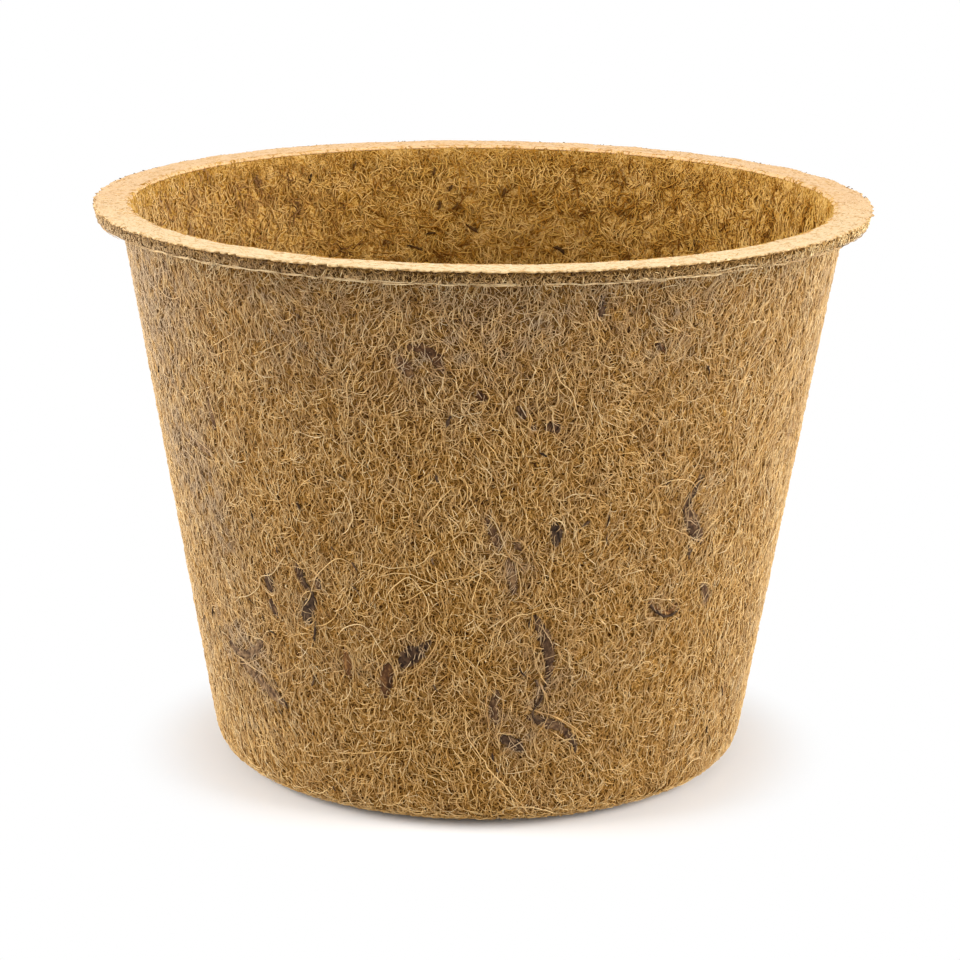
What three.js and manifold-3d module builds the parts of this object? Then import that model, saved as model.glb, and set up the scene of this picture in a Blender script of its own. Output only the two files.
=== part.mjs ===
// Moulded coir pot. Two cups of latex-bonded coir felt are pressed together into one tapered wall with
// a flat flange. The flange carries a smooth pressed skin, and flakes of coconut husk lie flush in the
// outer felt. Millimetres, +Z up, origin at the centre of the base. A turn is an angle in degrees round
// the pot, counted from the front (-Y) towards +X.

import * as THREE from 'three';
import { mergeVertices } from 'three/addons/utils/BufferGeometryUtils.js';
import Module from 'manifold-3d';

const wasm = await Module();
wasm.setup();

// Overall form
const potHeight = 95.4;
const shoulderRadius = 60.5; // outside of the wall, right under the flange
const flangeWidth = 4.5; // from the outside of the wall to the trimmed edge
const baseRadius = 44.7; // where the line of the outer wall meets the base plane
const baseCorner = 6; // rounding between the wall and the base, outside

// Felt plies and the latex line that bonds them
const outerPly = 1.05;
const innerPly = 1.05;
const bondLine = 0.2;

// Flange, pressed thinner than the wall
const outerLip = 0.65;
const innerLip = 0.65;
const skinThickness = 0.3;
const innerLipSetback = 0.4; // the trimmed edge leans in under the skin
const outerLipSetback = 0.7;
const skinEdgeRound = 0.12;
const underFillet = 1; // wall to the underside of the flange
const mouthRound = 0.5; // inner wall to the top of the flange

// Husk flakes
const flakeThickness = 0.5;
const flakeClearance = 0.2; // round the edge of a flake, in its pocket
const flakeBed = 0.1; // under a flake
const pocketReach = 1; // how far a pocket's cutter stands out of the wall
const backFlakeCount = 14;
const backFlakeLeast = { turn: 78, rise: 0.14, length: 3, width: 1.4, lean: -80 };
const backFlakeMost = { turn: 282, rise: 0.88, length: 8, width: 3, lean: 80 };
const goldenShare = 0.618; // steps of this share never fall into rows
// The spine of a plain, bowed shaving, as shares of its width, length and width
const shaving = [
  [0, -0.5, 0.16],
  [0.18, -0.22, 0.42],
  [0.25, 0.05, 0.5],
  [0.12, 0.3, 0.36],
  [0, 0.5, 0.16],
];

// Fineness of the facets
const aroundSteps = 60;
const cornerSteps = 3;
const flakeSteps = 2; // between two points of a spine
const leastCorner = 0.5;

// Levels, the trimmed edge and the slope of the wall
const rimRadius = shoulderRadius + flangeWidth;
const flangeUnder = potHeight - skinThickness - innerLip - outerLip - 2 * bondLine;
const wallSlope = Math.atan2(shoulderRadius - baseRadius, flangeUnder);
const wallLength = flangeUnder / Math.cos(wallSlope);
const innerPlyDepth = outerPly + bondLine;
const wallDepth = innerPlyDepth + innerPly;

// Radius of the wall's face that lies a given depth inside the outer one, at height z.
function faceRadius(depth, z) {
  return baseRadius + z * Math.tan(wallSlope) - depth / Math.cos(wallSlope);
}

// Profile of one face of a felt cup, from the axis at the bottom to the edge of its lip.
function cupFace(depth, lipLevel, lipRadius, bend) {
  const corner = Math.max(baseCorner - depth, leastCorner);
  const cornerLevel = depth + corner;
  const cornerRadius = faceRadius(depth, cornerLevel) - corner / Math.cos(wallSlope);
  const bendRadius = faceRadius(depth, lipLevel);
  const path = new THREE.Path();
  path.moveTo(0, depth);
  path.lineTo(cornerRadius, depth);
  path.absarc(cornerRadius, cornerLevel, corner, -Math.PI / 2, -wallSlope, false);
  path.lineTo(bendRadius - bend * Math.sin(wallSlope), lipLevel - bend * Math.cos(wallSlope));
  path.quadraticCurveTo(bendRadius, lipLevel, bendRadius + bend, lipLevel);
  path.lineTo(lipRadius, lipLevel);
  return path.getPoints(cornerSteps);
}

// Turns a profile round the pot's axis.
function revolve(profile) {
  return new THREE.LatheGeometry(profile, aroundSteps).rotateX(Math.PI / 2);
}

// A closed geometry as a solid for cutting, without the slivers that a revolve leaves on its axis.
function solidOf(geometry) {
  const bare = geometry.clone();
  bare.deleteAttribute('normal');
  bare.deleteAttribute('uv');
  const merged = mergeVertices(bare, 1e-4);
  const kept = [];
  for (let i = 0; i < merged.index.count; i += 3) {
    const corners = [0, 1, 2].map((step) => merged.index.getX(i + step));
    if (new Set(corners).size === 3) kept.push(...corners);
  }
  return new wasm.Manifold(new wasm.Mesh({
    numProp: 3,
    vertProperties: merged.attributes.position.array,
    triVerts: new Uint32Array(kept),
  }));
}

function geometryOf(solid) {
  const mesh = solid.getMesh();
  const geometry = new THREE.BufferGeometry();
  geometry.setAttribute('position', new THREE.BufferAttribute(mesh.vertProperties, 3));
  geometry.setIndex(new THREE.BufferAttribute(mesh.triVerts, 1));
  geometry.computeVertexNormals();
  return geometry;
}

// A felt cup between two depths in the wall, with its lip turned out into the flange.
function feltCup(depth, thickness, lipUnder, lipThickness, lipRadius) {
  const outside = cupFace(depth, lipUnder, lipRadius, underFillet);
  const inside = cupFace(depth + thickness, lipUnder + lipThickness, lipRadius, mouthRound);
  return solidOf(revolve([...outside, ...inside.reverse()]));
}

// The smooth ring on top of the flange, with its four edges eased.
function rimSkin() {
  const under = potHeight - skinThickness;
  const inner = faceRadius(wallDepth, under) + mouthRound;
  const ease = skinEdgeRound;
  const path = new THREE.Path();
  path.moveTo(inner + ease, under);
  path.lineTo(rimRadius - ease, under);
  path.lineTo(rimRadius, under + ease);
  path.lineTo(rimRadius, potHeight - ease);
  path.lineTo(rimRadius - ease, potHeight);
  path.lineTo(inner + ease, potHeight);
  path.lineTo(inner, potHeight - ease);
  path.lineTo(inner, under + ease);
  path.lineTo(inner + ease, under);
  return revolve(path.getPoints(1));
}

// The two edges of a husk flake, as pairs of points on the flat. A point of its spine holds a place over the
// middle of the flake, to the right and upwards, and half the flake's width there.
function flakeEdges(spine, grow) {
  const curve = new THREE.CatmullRomCurve3(spine.map((point) => new THREE.Vector3(...point)));
  const steps = (spine.length - 1) * flakeSteps;
  return Array.from({ length: steps + 1 }, (_, i) => {
    const middle = curve.getPoint(i / steps);
    const ahead = curve.getTangent(i / steps).setZ(0).normalize();
    const half = middle.z + grow;
    if (i === 0) middle.addScaledVector(ahead, -grow);
    if (i === steps) middle.addScaledVector(ahead, grow);
    return [
      [middle.x + ahead.y * half, middle.y - ahead.x * half],
      [middle.x - ahead.y * half, middle.y + ahead.x * half],
    ];
  });
}

// A point of a flat pattern, laid on the outer wall at a height over it.
function onWall(flake, [across, upward], height) {
  const along = flake.rise * wallLength + upward;
  const radius = baseRadius + along * Math.sin(wallSlope) + height * Math.cos(wallSlope);
  const turn = THREE.MathUtils.degToRad(flake.turn) + across / radius;
  const level = along * Math.cos(wallSlope) - height * Math.sin(wallSlope);
  return [radius * Math.sin(turn), -radius * Math.cos(turn), level];
}

// A flake-shaped plug between two heights over the outer wall. Each step of it has four corners.
function flakePlug(flake, grow, low, high) {
  const corners = [];
  const faces = [];
  const addQuad = (a, b, c, d) => faces.push(a, b, c, a, c, d);
  const edges = flakeEdges(flake.spine, grow);
  edges.forEach(([right, left], i) => {
    for (const height of [low, high]) {
      corners.push(...onWall(flake, right, height), ...onWall(flake, left, height));
    }
    if (i === 0) return;
    const [rightLow, leftLow, rightHigh, leftHigh] = [0, 1, 2, 3].map((corner) => 4 * i + corner);
    addQuad(rightHigh - 4, rightHigh, leftHigh, leftHigh - 4);
    addQuad(rightLow - 4, leftLow - 4, leftLow, rightLow);
    addQuad(rightLow - 4, rightLow, rightHigh, rightHigh - 4);
    addQuad(leftLow, leftLow - 4, leftHigh - 4, leftHigh);
  });
  addQuad(1, 0, 2, 3);
  const last = 4 * (edges.length - 1);
  addQuad(last, last + 1, last + 3, last + 2);
  const plug = new THREE.BufferGeometry();
  plug.setAttribute('position', new THREE.Float32BufferAttribute(corners, 3));
  plug.setIndex(faces);
  plug.computeVertexNormals();
  return plug;
}

// The flakes that show from the front. Rise is the share of the wall's height.
const frontFlakes = [
  {
    turn: -8.4, rise: 0.857,
    spine: [
      [-2.56, 1.98, 0.4], [-0.72, 1.98, 0.74], [0.71, 1.27, 0.91], [1.83, 0.16, 0.91],
      [2.43, -1.16, 0.66], [2.53, -2.07, 0.25],
    ],
  },
  {
    turn: -11.4, rise: 0.844,
    spine: [
      [-1.22, 1.59, 0.3], [-0.51, 0.68, 0.9], [0.3, -0.64, 0.74], [1.11, -1.65, 0.28],
    ],
  },
  {
    turn: 17.8, rise: 0.949,
    spine: [
      [0, 1.7, 0.33], [0.09, 0.57, 0.5], [0.02, -0.56, 0.58], [-0.05, -1.68, 0.33],
    ],
  },
  {
    turn: 28.3, rise: 0.87,
    spine: [
      [-0.97, 0.82, 0.24], [-0.34, 0.11, 0.5], [0.45, -0.46, 0.41], [1.04, -0.85, 0.24],
    ],
  },
  {
    turn: 0, rise: 0.798,
    spine: [
      [-0.48, 0.84, 0.25], [-0.02, 0.03, 0.66], [0.44, -0.79, 0.5],
    ],
  },
  {
    turn: 11.4, rise: 0.741,
    spine: [
      [-1.08, 0.19, 0.6], [-0.39, 0.19, 0.82], [0.39, -0.01, 0.82], [1.18, -0.21, 0.6],
    ],
  },
  {
    turn: 6.4, rise: 0.77,
    spine: [
      [-0.6, 1, 0.3], [-0.3, 0.18, 0.5], [0.2, -0.53, 0.5], [0.49, -1.03, 0.3],
    ],
  },
  {
    turn: 8.4, rise: 0.744,
    spine: [
      [-0.59, 0.11, 0.3], [-0.1, 0.01, 0.55], [0.49, -0.19, 0.4],
    ],
  },
  {
    turn: -50.4, rise: 0.713,
    spine: [
      [-0.24, 2.87, 0.24], [-0.07, 1.37, 0.4], [0.09, -0.12, 0.5], [0.25, -1.62, 0.43],
      [0.22, -2.82, 0.24],
    ],
  },
  {
    turn: -56.5, rise: 0.64,
    spine: [
      [-4.29, 1.17, 0.25], [-2.21, 0.61, 0.55], [0.06, 0.08, 0.53], [2.2, -0.31, 0.53],
      [4.34, -1.23, 0.24],
    ],
  },
  {
    turn: 12.8, rise: 0.551,
    spine: [
      [-0.14, 2.23, 0.25], [-0.07, 1.03, 0.74], [0.16, -0.18, 0.99], [0.23, -1.38, 0.58],
      [0.12, -2.24, 0.24],
    ],
  },
  {
    turn: 2.4, rise: 0.553,
    spine: [
      [-1.01, 2.65, 0.33], [-0.52, 1.12, 0.5], [0.12, -0.42, 0.58], [0.77, -1.8, 0.5],
      [0.94, -2.66, 0.24],
    ],
  },
  {
    turn: 5.4, rise: 0.476,
    spine: [
      [-0.55, 3.07, 0.33], [-0.03, 1.51, 0.74], [0.33, -0.23, 0.83], [0.54, -1.97, 0.58],
      [0.57, -3.01, 0.24],
    ],
  },
  {
    turn: 6.4, rise: 0.532,
    spine: [
      [-0.31, 0.67, 0.25], [0.02, -0.02, 0.58], [0.36, -0.72, 0.33],
    ],
  },
  {
    turn: 40.3, rise: 0.564,
    spine: [
      [-0.29, 6.11, 0.25], [-0.76, 4.59, 0.55], [-1.32, 3.57, 0.7], [-2.17, 2.56, 0.45],
      [-2.35, 1.04, 0.95], [-1.49, -0.89, 1.16], [-0.28, -2.92, 1.24], [1.2, -4.74, 1.1],
      [2.39, -6.16, 0.4],
    ],
  },
  {
    turn: 45.7, rise: 0.399,
    spine: [
      [-0.83, 1.91, 0.33], [-0.06, 0.68, 0.91], [0.79, -0.74, 0.91], [0.57, -1.94, 0.41],
    ],
  },
  {
    turn: 35.6, rise: 0.396,
    spine: [
      [-3.03, 1.48, 0.24], [-2.46, 0.34, 0.36], [-1.3, -0.74, 0.46], [0.03, -1.51, 0.5],
      [1.28, -1.56, 0.41], [2.25, -1.03, 0.33], [2.98, -0.29, 0.24],
    ],
  },
  {
    turn: -33.4, rise: 0.447,
    spine: [
      [-0.64, 2.18, 0.25], [-0.27, 0.76, 0.58], [0.36, -0.96, 0.58], [0.72, -2.18, 0.25],
    ],
  },
  {
    turn: -32.2, rise: 0.385,
    spine: [
      [0.8, 2.68, 0.3], [0.36, 1.66, 0.9], [-0.35, 0.24, 1.16], [-0.71, -1.18, 1.05],
      [-0.53, -2.6, 0.5],
    ],
  },
  {
    turn: -29.8, rise: 0.441,
    spine: [
      [-0.09, 1.23, 0.25], [0, 0.01, 0.55], [0, -1.21, 0.4],
    ],
  },
  {
    turn: -41.5, rise: 0.419,
    spine: [
      [-0.45, 1.59, 0.33], [0, 0.57, 0.9], [0.27, -0.64, 0.9], [0.45, -1.66, 0.35],
    ],
  },
  {
    turn: -41, rise: 0.372,
    spine: [
      [-0.62, 1.48, 0.3], [-0.18, 0.66, 0.72], [0.26, -0.45, 0.66], [0.7, -1.57, 0.25],
    ],
  },
  {
    turn: -11.5, rise: 0.329,
    spine: [
      [-2.46, -2.57, 0.5], [-1.6, -1.24, 1.32], [-0.42, -0.25, 1.49], [0.73, 0.54, 1.16],
      [1.89, 1.69, 0.5], [2.56, 2.61, 0.24],
    ],
  },
  {
    turn: -17.4, rise: 0.273,
    spine: [
      [0.49, 3.05, 0.41], [0.25, 1.77, 0.99], [-0.01, 0.14, 1.07], [-0.27, -1.5, 0.91],
      [-0.52, -2.97, 0.33],
    ],
  },
  {
    turn: -25.1, rise: 0.297,
    spine: [
      [0.04, 2.49, 0.25], [-0.07, 1.23, 0.66], [-0.01, -0.18, 0.79], [0.04, -1.6, 0.58],
      [0.14, -2.48, 0.24],
    ],
  },
  {
    turn: -51.5, rise: 0.283,
    spine: [
      [-5.03, -0.01, 0.25], [-4.4, -1.27, 0.74], [-2.65, -2.05, 0.83], [-0.23, -2.11, 0.74],
      [2.33, -0.89, 0.83], [4.32, 0.87, 0.66], [5.11, 2.14, 0.25],
    ],
  },
  {
    turn: -47.5, rise: 0.215,
    spine: [
      [-5.57, 2.41, 0.25], [-3.06, 1.65, 0.66], [-0.57, 0.51, 0.91], [1.48, -0.76, 0.99],
      [3.49, -1.7, 0.91], [5.43, -2.48, 0.33],
    ],
  },
  {
    turn: 11.7, rise: 0.34,
    spine: [
      [-1.45, 6.08, 0.24], [-0.72, 4.28, 0.66], [0.19, 2.3, 0.99], [0.95, 0.13, 1.07],
      [1.38, -1.85, 0.83], [1.34, -3.98, 0.58], [0.94, -6.14, 0.25],
    ],
  },
  {
    turn: 11.4, rise: 0.248,
    spine: [
      [0, 1.66, 0.25], [0.25, 0.44, 0.58], [0.08, -0.57, 0.55], [-0.17, -1.59, 0.3],
    ],
  },
  {
    turn: 3.5, rise: 0.232,
    spine: [
      [0.14, 3.19, 0.33], [-0.14, 1.58, 0.66], [-0.43, -0.03, 0.74], [-0.23, -1.66, 0.66],
      [0.43, -3.11, 0.25],
    ],
  },
  {
    turn: 6.8, rise: 0.163,
    spine: [
      [-1.95, 1.61, 0.33], [-0.95, 0.68, 0.91], [0.2, -0.08, 0.99], [1.19, -0.85, 0.74],
      [1.86, -1.61, 0.25],
    ],
  },
  {
    turn: 14.7, rise: 0.179,
    spine: [
      [-4.34, 3.2, 0.33], [-2.85, 2.76, 0.74], [-1.16, 1.92, 0.91], [0.36, 1.44, 0.83],
      [1.93, 0.39, 0.66], [3.22, -1.2, 0.66], [4.21, -3.14, 0.25],
    ],
  },
];

// The flakes of the unseen side, spread evenly round it and unevenly in height, size and lean.
function backFlake(index) {
  const shares = {
    turn: (index + 0.5) / backFlakeCount,
    rise: (index * goldenShare) % 1,
    length: (index * goldenShare ** 2) % 1,
    width: (index * goldenShare ** 3) % 1,
    lean: (index * goldenShare ** 4) % 1,
  };
  const flake = {};
  for (const [size, share] of Object.entries(shares)) {
    flake[size] = THREE.MathUtils.lerp(backFlakeLeast[size], backFlakeMost[size], share);
  }
  const lean = THREE.MathUtils.degToRad(flake.lean);
  flake.spine = shaving.map(([across, along, half]) => [
    across * flake.width * Math.cos(lean) + along * flake.length * Math.sin(lean),
    along * flake.length * Math.cos(lean) - across * flake.width * Math.sin(lean),
    half * flake.width,
  ]);
  return flake;
}

const flakes = [...frontFlakes, ...Array.from({ length: backFlakeCount }, (_, index) => backFlake(index))];

const outerFelt = new THREE.MeshStandardMaterial({ color: '#a8834c', roughness: 0.95, metalness: 0 });
const innerFelt = new THREE.MeshStandardMaterial({ color: '#a07236', roughness: 0.95, metalness: 0 });
const pressedSkin = new THREE.MeshStandardMaterial({ color: '#e6c48f', roughness: 0.8, metalness: 0 });
const huskBrown = new THREE.MeshStandardMaterial({ color: '#4b382b', roughness: 0.7, metalness: 0 });

const pot = new THREE.Group();
pot.name = 'coir_pot';

function addPiece(name, geometry, material) {
  const piece = new THREE.Mesh(geometry, material);
  piece.name = name;
  pot.add(piece);
}

const pockets = flakes.map((flake) => solidOf(
  flakePlug(flake, flakeClearance, -flakeThickness - flakeBed, pocketReach),
));
const outerCup = feltCup(0, outerPly, flangeUnder, outerLip, rimRadius - outerLipSetback);
addPiece('outer_ply', geometryOf(pockets.reduce((cup, pocket) => cup.subtract(pocket), outerCup)), outerFelt);

const innerLipUnder = flangeUnder + outerLip + bondLine;
const innerCup = feltCup(innerPlyDepth, innerPly, innerLipUnder, innerLip, rimRadius - innerLipSetback);
addPiece('inner_ply', geometryOf(innerCup), innerFelt);

addPiece('rim_skin', rimSkin(), pressedSkin);

flakes.forEach((flake, index) => {
  const name = `husk_flake_${String(index + 1).padStart(2, '0')}`;
  addPiece(name, flakePlug(flake, 0, -flakeThickness, 0), huskBrown);
});

export default pot;
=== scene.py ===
import math

import bmesh
import bpy
import numpy as np
from mathutils import Matrix, Vector


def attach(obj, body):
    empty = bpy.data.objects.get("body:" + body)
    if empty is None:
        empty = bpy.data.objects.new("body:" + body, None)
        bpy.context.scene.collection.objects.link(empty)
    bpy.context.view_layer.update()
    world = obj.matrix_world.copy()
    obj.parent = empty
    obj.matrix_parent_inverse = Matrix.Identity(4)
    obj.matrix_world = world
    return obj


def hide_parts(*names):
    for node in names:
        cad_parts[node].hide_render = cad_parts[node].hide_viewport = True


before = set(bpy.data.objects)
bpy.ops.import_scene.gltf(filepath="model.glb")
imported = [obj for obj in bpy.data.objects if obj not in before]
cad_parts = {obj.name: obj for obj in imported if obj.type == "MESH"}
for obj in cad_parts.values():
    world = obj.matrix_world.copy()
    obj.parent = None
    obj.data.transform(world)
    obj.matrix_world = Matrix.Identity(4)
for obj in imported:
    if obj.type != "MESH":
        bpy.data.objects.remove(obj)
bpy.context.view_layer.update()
scene = bpy.context.scene
scene.view_settings.view_transform = "Standard"
mm = 0.001
fullTurn = 2 * math.pi
rng = np.random.default_rng(41)

# overall sizes in mm, the same as the solids have
pot = {
    "height": 95.4,
    "shoulder": 60.5,      # wall radius right under the flange
    "base": 44.7,          # where the wall's line meets the ground
    "corner": 6.0,
    "rim": 65.0,
    "upperLip": 64.6,      # the trimmed edge leans in under the skin
    "lowerLip": 64.3,
    "mouth": 58.55,
    "flange": 2.0,
    "skin": 0.3,
    "wall": 2.3,
    "ply": 1.05,
    "bond": 0.2,
    "underFillet": 1.0,
    "mouthRound": 0.5,
}
flangeUnder = pot["height"] - pot["flange"]
skinUnder = pot["height"] - pot["skin"]
lipJoint = (flangeUnder + skinUnder) / 2
wallSlope = math.atan2(pot["shoulder"] - pot["base"], flangeUnder)


def linear(hexText):
    parts = [int(hexText[i:i + 2], 16) / 255 for i in (1, 3, 5)]
    return [p / 12.92 if p <= 0.04045 else ((p + 0.055) / 1.055) ** 2.4 for p in parts] + [1.0]


def perMetre(sizeMm):
    return 1000 / sizeMm   # texture scale for a pattern that repeats about every sizeMm


def addNode(tree, kind, settings=None):
    # a setting that is a socket is linked, any other is set
    made = tree.nodes.new("ShaderNode" + kind)
    for name, value in (settings or {}).items():
        if name == "stops":
            elements = made.color_ramp.elements
            while len(elements) < len(value):
                elements.new(1.0)
            for element, (spot, colour) in zip(elements, value):
                element.position = spot
                element.color = linear(colour)
        elif isinstance(value, bpy.types.NodeSocket):
            tree.links.new(value, made.inputs[name])
        elif isinstance(name, int) or name in made.inputs:
            made.inputs[name].default_value = value
        else:
            setattr(made, name, value)
    return made


def newMaterial(name, settings):
    material = bpy.data.materials.new(name)
    material.use_nodes = True
    tree = material.node_tree
    tree.nodes.clear()
    shader = addNode(tree, "BsdfPrincipled", settings)
    addNode(tree, "OutputMaterial", {"Surface": shader.outputs["BSDF"]})
    return material, tree, shader


# camera, where the photograph was taken from
view = {"back": 0.52906, "up": 0.1846, "pitch": 14.62, "roll": 0.56, "lens": 119.6, "sensor": 36,
        "nearest": 0.01, "farthest": 50}

camera = bpy.data.objects.new("camera", bpy.data.cameras.new("camera"))
scene.collection.objects.link(camera)
scene.camera = camera
camera.data.sensor_width = view["sensor"]
camera.data.lens = view["lens"]
camera.data.clip_start = view["nearest"]
camera.data.clip_end = view["farthest"]
camera.matrix_world = (
    Matrix.Translation((0, -view["back"], view["up"]))
    @ Matrix.Rotation(math.radians(90 - view["pitch"]), 4, "X")
    @ Matrix.Rotation(math.radians(view["roll"]), 4, "Z")
)

# low softboxes at both sides, a weaker one in front and one overhead, and an even fill
studio = {
    "fill": 0.345,
    "aim": (0, 0, 0.06),
    "size": 0.7,
    "lamps": {
        "left": {"at": (-0.85, -0.12, 0.33), "power": 13.0},
        "right": {"at": (0.81, -0.25, 0.33), "power": 12.9},
        "front": {"at": (0.0, -0.9, 0.55), "power": 1.1},
        "top": {"at": (0.0, 0.1, 1.1), "power": 0.7},
    },
}

for lampName, lamp in studio["lamps"].items():
    softbox = bpy.data.lights.new("softbox_" + lampName, "AREA")
    softbox.shape = "SQUARE"
    softbox.size = studio["size"]
    softbox.energy = lamp["power"]
    holder = bpy.data.objects.new("softbox_" + lampName, softbox)
    scene.collection.objects.link(holder)
    holder.location = lamp["at"]
    holder.rotation_euler = (Vector(studio["aim"]) - holder.location).to_track_quat("-Z", "Y").to_euler()

white = linear("#ffffff")
scene.world = bpy.data.worlds.new("studio")
scene.world.use_nodes = True
sky = scene.world.node_tree
sky.nodes.clear()
skyPath = addNode(sky, "LightPath")
skyFill = addNode(sky, "Background", {"Color": white, "Strength": studio["fill"]})
skyWhite = addNode(sky, "Background", {"Color": white, "Strength": 1.0})
skyMix = addNode(sky, "MixShader", {
    0: skyPath.outputs["Is Camera Ray"], 1: skyFill.outputs[0], 2: skyWhite.outputs[0]})
addNode(sky, "OutputWorld", {"Surface": skyMix.outputs[0]})

# white paper that keeps the pot's shadow close to it and turns plain white to the camera further out
sweep = {"reach": 6.0, "level": -0.0004, "shadowTo": 0.045, "whiteFrom": 0.062}

floorMesh = bpy.data.meshes.new("floor")
floorCorners = [(x * sweep["reach"], y * sweep["reach"], 0) for x, y in ((-1, -1), (1, -1), (1, 1), (-1, 1))]
floorMesh.from_pydata(floorCorners, [], [(0, 1, 2, 3)])
floor = bpy.data.objects.new("floor", floorMesh)
floor.location.z = sweep["level"]
scene.collection.objects.link(floor)
paper, paperTree, paperShader = newMaterial("white_paper_matt", {
    "Base Color": linear("#f4f4f4"), "Roughness": 0.9})
paperAt = addNode(paperTree, "TexCoord")
paperFar = addNode(paperTree, "VectorMath", {"operation": "LENGTH", 0: paperAt.outputs["Object"]})
paperFade = addNode(paperTree, "MapRange", {
    "From Min": sweep["shadowTo"], "From Max": sweep["whiteFrom"], "interpolation_type": "SMOOTHSTEP",
    "Value": paperFar.outputs["Value"]})
paperPath = addNode(paperTree, "LightPath")
paperSeen = addNode(paperTree, "Math", {
    "operation": "MULTIPLY", 0: paperFade.outputs["Result"], 1: paperPath.outputs["Is Camera Ray"]})
paperWhite = addNode(paperTree, "Emission", {"Color": white, "Strength": 1.0})
paperMix = addNode(paperTree, "MixShader", {
    0: paperSeen.outputs[0], 1: paperShader.outputs["BSDF"], 2: paperWhite.outputs["Emission"]})
paperTree.links.new(paperMix.outputs[0], paperTree.nodes["Material Output"].inputs["Surface"])
floorMesh.materials.append(paper)
print("stage ready")


# a run is a profile with its length, so that anything can be laid on the pot by turn, run length and height
profile = {"cornerPoints": 14, "bendPoints": 7, "leastCorner": 0.5, "step": 0.25}


def faceRadius(depth, z):
    return pot["base"] + z * math.tan(wallSlope) - depth / math.cos(wallSlope)


def cupProfile(depth, lipLevel, lipRadius, bend):
    corner = max(pot["corner"] - depth, profile["leastCorner"])
    cornerLevel = depth + corner
    cornerAt = faceRadius(depth, cornerLevel) - corner / math.cos(wallSlope)
    points = [(0.0, depth), (cornerAt, depth)]
    for angle in np.linspace(-math.pi / 2, -wallSlope, profile["cornerPoints"])[1:]:
        points.append((cornerAt + corner * math.cos(angle), cornerLevel + corner * math.sin(angle)))
    bendAt = faceRadius(depth, lipLevel)
    start = (bendAt - bend * math.sin(wallSlope), lipLevel - bend * math.cos(wallSlope))
    for t in np.linspace(0, 1, profile["bendPoints"]):
        r = (1 - t) ** 2 * start[0] + 2 * t * (1 - t) * bendAt + t * t * (bendAt + bend)
        z = (1 - t) ** 2 * start[1] + (2 * t * (1 - t) + t * t) * lipLevel
        points.append((r, z))
    points.append((lipRadius, lipLevel))
    return np.array(points)


def makeRun(points, outward):
    steps = np.hypot(*np.diff(points, axis=0).T)
    length = np.concatenate([[0], np.cumsum(steps)])
    s = np.linspace(0, length[-1], int(length[-1] / profile["step"]))
    r, z = np.interp(s, length, points[:, 0]), np.interp(s, length, points[:, 1])
    dr, dz = np.gradient(r), np.gradient(z)
    size = np.hypot(dr, dz) * outward
    return {"s": s, "r": r, "z": z, "nr": dz / size, "nz": -dr / size, "end": s[-1]}


def along(run, key, s):
    return np.interp(s, run["s"], run[key])


def place(run, turn, s, height):
    nr, nz = along(run, "nr", s), along(run, "nz", s)
    r = along(run, "r", s) + height * nr
    z = along(run, "z", s) + height * nz
    points = np.stack([r * np.sin(turn), -r * np.cos(turn), z], axis=-1) * mm
    normals = np.stack([nr * np.sin(turn), -nr * np.cos(turn), nz], axis=-1)
    return points, normals


def runAt(run, z):
    rising = run["z"] - np.maximum.accumulate(run["z"]) >= 0
    return np.interp(z, run["z"][rising], run["s"][rising])


outside = makeRun(cupProfile(0, flangeUnder, pot["lowerLip"], pot["underFillet"]), 1)
inside = makeRun(cupProfile(pot["wall"], skinUnder, pot["mouth"] + 2, pot["mouthRound"]), -1)


def lumps(points, size, waves, seed):
    # smooth uneven field of about -1 to 1, made of waves 0.7 to 1.5 times as long as size
    dice = np.random.default_rng(seed)
    total = np.zeros(points.shape[:-1])
    for _ in range(waves):
        direction = dice.normal(size=points.shape[-1])
        direction *= fullTurn / (size * dice.uniform(0.7, 1.5) * np.linalg.norm(direction))
        total += np.sin(points @ direction + dice.uniform(0, fullTurn))
    return total / math.sqrt(waves)


def meshPiece(name, points, corners, starts, materials, uv=None, values=None, faceMaterial=None):
    mesh = bpy.data.meshes.new(name)
    mesh.vertices.add(len(points))
    mesh.vertices.foreach_set("co", np.ascontiguousarray(points, np.float32).ravel())
    mesh.loops.add(len(corners))
    mesh.loops.foreach_set("vertex_index", np.ascontiguousarray(corners, np.int32))
    mesh.polygons.add(len(starts))
    mesh.polygons.foreach_set("loop_start", np.ascontiguousarray(starts, np.int32))
    if uv is not None:
        layer = mesh.uv_layers.new(name="OFBake")
        layer.data.foreach_set("uv", np.ascontiguousarray(uv, np.float32).ravel())
    for material in materials:
        mesh.materials.append(material)
    if faceMaterial is not None:
        mesh.polygons.foreach_set("material_index", np.ascontiguousarray(faceMaterial, np.int32))
    for key, value in (values or {}).items():
        layer = mesh.attributes.new(key, "FLOAT", "POINT")
        layer.data.foreach_set("value", np.ascontiguousarray(value, np.float32))
    mesh.update(calc_edges=True)
    mesh.polygons.foreach_set("use_smooth", np.full(len(starts), True))
    piece = bpy.data.objects.new(name, mesh)
    scene.collection.objects.link(piece)
    return piece


def belongs(piece, slot, *nodes):
    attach(piece, "root")
    if nodes:
        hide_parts(*nodes)


def cellUv(u, v, du, dv):
    # the four corners of each face in its own cell of the map
    steps = ((0, 0), (1, 0), (1, 1), (0, 1))
    return np.stack([np.stack([u + across * du, v + up * dv], -1) for across, up in steps], axis=1)


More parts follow.
